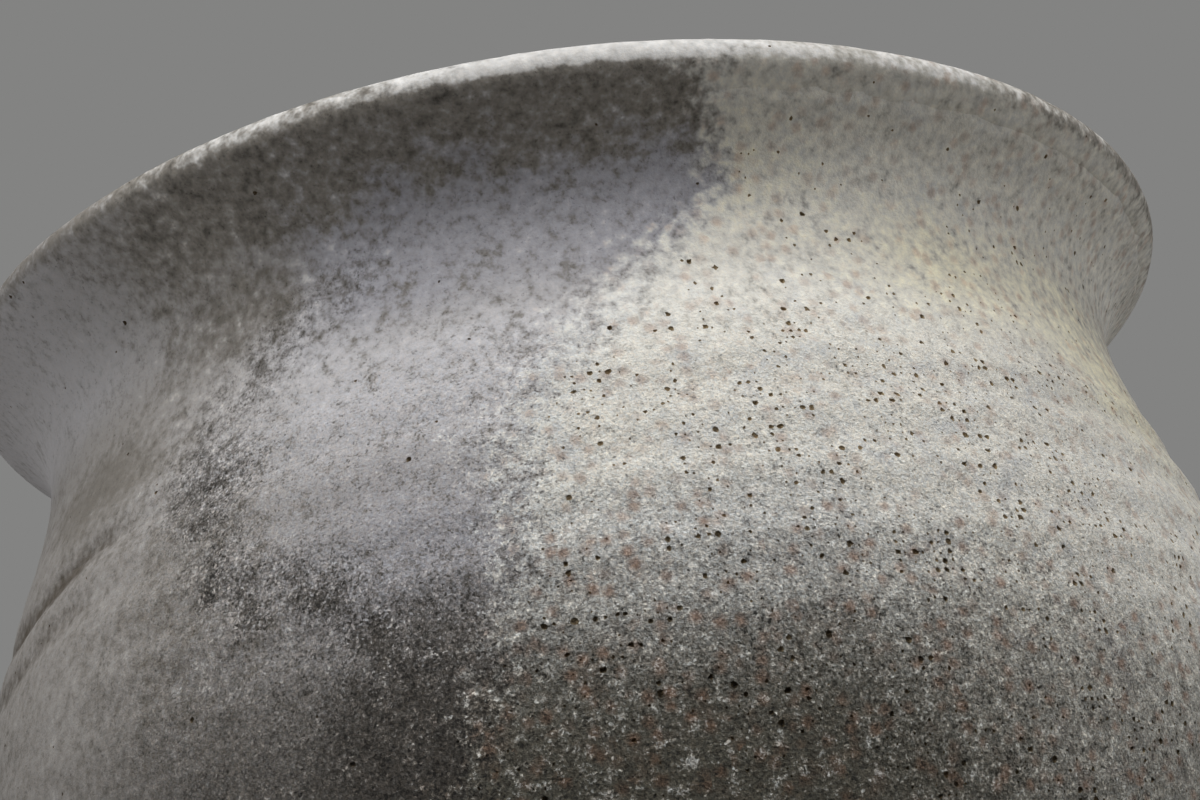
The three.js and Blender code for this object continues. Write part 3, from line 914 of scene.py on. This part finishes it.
REACH = 3.0
FLOOR_SEEN = fired_colour(200, 199, 197)
FLOOR_BOUNCE = fired_colour(108, 107, 106)
FLOOR_FADE = (0.22, 0.62)
FLOOR_ROUGHNESS = 0.9
BACKGROUND = fired_colour(131, 131, 130)
AMBIENT = (0.06, 0.06, 0.06, 1.0)
floor_corners = [(-REACH, -REACH, 0), (REACH, -REACH, 0), (REACH, REACH, 0), (-REACH, REACH, 0)]
floor_mesh = bpy.data.meshes.new("floor")
floor_mesh.from_pydata(floor_corners, [], [(0, 1, 2, 3)])
floor = bpy.data.objects.new("floor", floor_mesh)
bpy.context.collection.objects.link(floor)
floor_material = bpy.data.materials.new("floor_paper")
floor_material.use_nodes = True
floor_tree = floor_material.node_tree
floor_seen = put(floor_tree, "ShaderNodeLightPath").outputs["Is Camera Ray"]
floor_colour = tint(floor_tree, floor_seen, FLOOR_BOUNCE, FLOOR_SEEN)
floor_shader = floor_tree.nodes["Principled BSDF"]
floor_tree.links.new(floor_colour, floor_shader.inputs["Base Color"])
floor_shader.inputs["Roughness"].default_value = FLOOR_ROUGHNESS
floor_place = put(floor_tree, "ShaderNodeNewGeometry").outputs["Position"]
floor_away = put(floor_tree, "ShaderNodeVectorMath", {0: floor_place}, operation="LENGTH").outputs["Value"]
sweep_share = calc(floor_tree, "MULTIPLY", ramp(floor_tree, floor_away, *FLOOR_FADE), floor_seen)
sweep = put(floor_tree, "ShaderNodeEmission", {"Color": BACKGROUND}).outputs[0]
swept_wires = {0: sweep_share, 1: floor_shader.outputs[0], 2: sweep}
swept = put(floor_tree, "ShaderNodeMixShader", swept_wires).outputs[0]
floor_tree.links.new(swept, floor_tree.nodes["Material Output"].inputs["Surface"])
floor_mesh.materials.append(floor_material)

world = bpy.data.worlds.new("studio")
bpy.context.scene.world = world
world.use_nodes = True
sky = world.node_tree
sky_seen = put(sky, "ShaderNodeLightPath").outputs["Is Camera Ray"]
sky_colour = tint(sky, sky_seen, AMBIENT, BACKGROUND)
sky.links.new(sky_colour, sky.nodes["Background"].inputs["Color"])

LAMP_AIM = Vector((0, 0, 0.1))


def soft_light(name, place, size, energy):
    """A round soft lamp that points at the bowl."""
    lamp = bpy.data.lights.new(name, "AREA")
    lamp.shape = "DISK"
    lamp.size = size
    lamp.energy = energy
    holder = bpy.data.objects.new(name, lamp)
    holder.location = place
    holder.rotation_euler = (LAMP_AIM - Vector(place)).to_track_quat("-Z", "Y").to_euler()
    holder.visible_camera = False
    bpy.context.collection.objects.link(holder)


soft_light("overhead", place=(0.02, -0.26, 0.37), size=0.22, energy=1.1)
soft_light("left", place=(-0.75, -0.22, 0.22), size=0.5, energy=2.0)
soft_light("right", place=(0.75, -0.22, 0.22), size=0.5, energy=1.6)
soft_light("behind", place=(0.0, 0.75, 0.6), size=0.6, energy=5.0)

CAMERA_PLACE = (0.0, -0.2395, 0.02667)
CAMERA_YAW = math.radians(0.711)
CAMERA_PITCH = math.radians(22.384)
CAMERA_ROLL = math.radians(-8.386)
CAMERA_LENS = 60.0
CAMERA_SENSOR = 36.0
CAMERA_NEAR = 0.005
level_forward = Vector((math.sin(CAMERA_YAW), math.cos(CAMERA_YAW), 0.0))
forward = math.cos(CAMERA_PITCH) * level_forward + math.sin(CAMERA_PITCH) * Vector((0.0, 0.0, 1.0))
level = Vector((math.cos(CAMERA_YAW), -math.sin(CAMERA_YAW), 0.0))
upright = level.cross(forward)
right = math.cos(CAMERA_ROLL) * level + math.sin(CAMERA_ROLL) * upright
up = -math.sin(CAMERA_ROLL) * level + math.cos(CAMERA_ROLL) * upright
camera_data = bpy.data.cameras.new("camera")
camera_data.lens = CAMERA_LENS
camera_data.sensor_width = CAMERA_SENSOR
camera_data.clip_start = CAMERA_NEAR
camera = bpy.data.objects.new("camera", camera_data)
camera.matrix_world = Matrix.Translation(CAMERA_PLACE) @ Matrix((right, up, -forward)).transposed().to_4x4()
bpy.context.collection.objects.link(camera)
bpy.context.scene.camera = camera
bpy.context.scene.view_settings.view_transform = "Standard"
